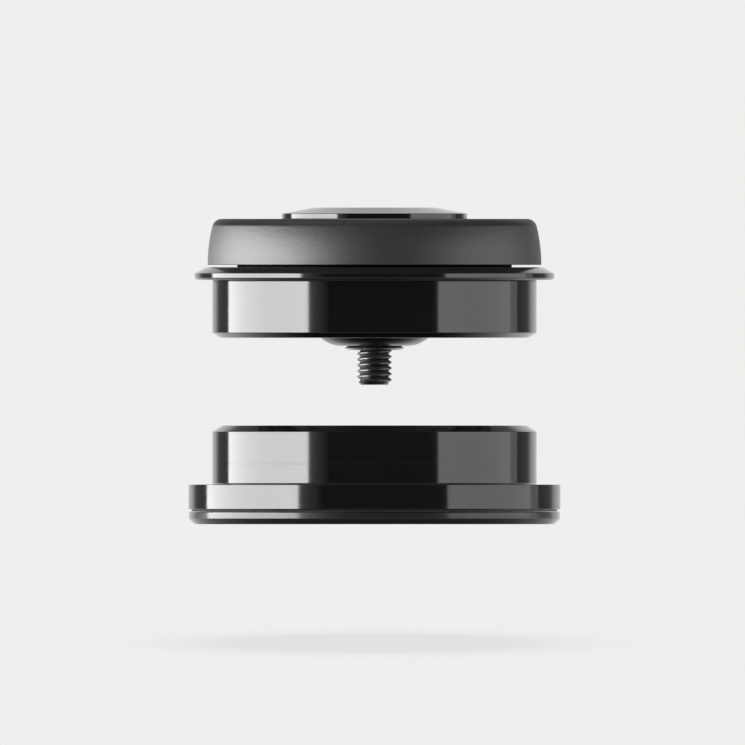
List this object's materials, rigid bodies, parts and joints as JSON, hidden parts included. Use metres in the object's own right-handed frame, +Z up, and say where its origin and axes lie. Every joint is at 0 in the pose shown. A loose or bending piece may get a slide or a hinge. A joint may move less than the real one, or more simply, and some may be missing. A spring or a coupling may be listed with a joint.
{
  "type": "bicycle headset",
  "caption": "Zero-stack bicycle headset: press-in upper and lower cups with sealed bearings, bearing cover, top cap with bolt and star nut, and a split race for the fork.",
  "frame": {"origin": "on the steering axis at the flange seat of the lower cup, where the lower end of the head tube lands", "axes": "+Z up along the steering axis, +X to the right and +Y away from the viewer of the picture"},
  "size_m": [0.0642, 0.0642, 0.0547],
  "materials": {
    "gloss_black": "turned, black anodised and polished to a gloss",
    "satin_black": "bead blasted and black anodised, satin",
    "half_gloss_black": "turned and black anodised, half gloss",
    "raw_aluminium": "turned, clear",
    "bearing_steel": "ground bearing steel",
    "cage_steel": "pressed sheet",
    "seal_rubber": "moulded, matte",
    "black_bolt_steel": "rolled thread, black oxide",
    "spring_steel": "stamped and hardened, dark",
    "barrel_steel": "turned, zinc plated"
  },
  "bodies": {
    "frame_side": {"upper_cup": "gloss_black", "lower_cup": "gloss_black", "upper_bearing_outer_race": "bearing_steel", "lower_bearing_outer_race": "bearing_steel", "upper_bearing_top_seal": "seal_rubber", "upper_bearing_bottom_seal": "seal_rubber", "lower_bearing_top_seal": "seal_rubber", "lower_bearing_bottom_seal": "seal_rubber"},
    "fork_top": {"top_cover": "satin_black", "cover_o_ring": "seal_rubber", "cover_lip_seal": "seal_rubber", "compression_ring": "raw_aluminium", "upper_bearing_inner_race": "bearing_steel", "top_cap": "gloss_black"},
    "upper_ball_set": {"upper_bearing_balls": "bearing_steel", "upper_bearing_cage": "cage_steel"},
    "fork_bottom": {"crown_race": "half_gloss_black", "crown_lip_seal": "seal_rubber", "lower_bearing_inner_race": "bearing_steel"},
    "lower_ball_set": {"lower_bearing_balls": "bearing_steel", "lower_bearing_cage": "cage_steel"},
    "preload_bolt": {"cap_bolt": "black_bolt_steel"},
    "star_nut": {"star_nut_barrel": "barrel_steel", "star_washer_upper": "spring_steel", "star_washer_lower": "spring_steel"}
  },
  "joints": [
    {"name": "upper_steering", "type": "hinge", "parent": "frame_side", "child": "fork_top", "pos_m": [0, 0, 0.0353], "axis": [0, 0, 1], "continuous": true},
    {"name": "upper_ball_orbit", "type": "hinge", "parent": "frame_side", "child": "upper_ball_set", "pos_m": [0, 0, 0.0353], "axis": [0, 0, 1], "continuous": true},
    {"name": "lower_steering", "type": "hinge", "parent": "frame_side", "child": "fork_bottom", "pos_m": [0, 0, 0], "axis": [0, 0, 1], "continuous": true},
    {"name": "lower_ball_orbit", "type": "hinge", "parent": "frame_side", "child": "lower_ball_set", "pos_m": [0, 0, 0], "axis": [0, 0, 1], "continuous": true},
    {"name": "nut_travel", "type": "slide", "parent": "fork_top", "child": "star_nut", "axis": [0, 0, 1], "range_m": [-0.005, 0.006]},
    {"name": "bolt_turn", "type": "hinge", "parent": "fork_top", "child": "preload_bolt", "pos_m": [0, 0, 0.0442], "axis": [0, 0, -1], "range_deg": [-1860, 2220]}
  ],
  "couplings": [
    {"joint": "upper_ball_orbit", "follows": "upper_steering", "ratio": 0.4756},
    {"joint": "lower_ball_orbit", "follows": "lower_steering", "ratio": 0.4756},
    {"joint": "bolt_turn", "follows": "nut_travel", "rad_per_m": 6283.2}
  ]
}
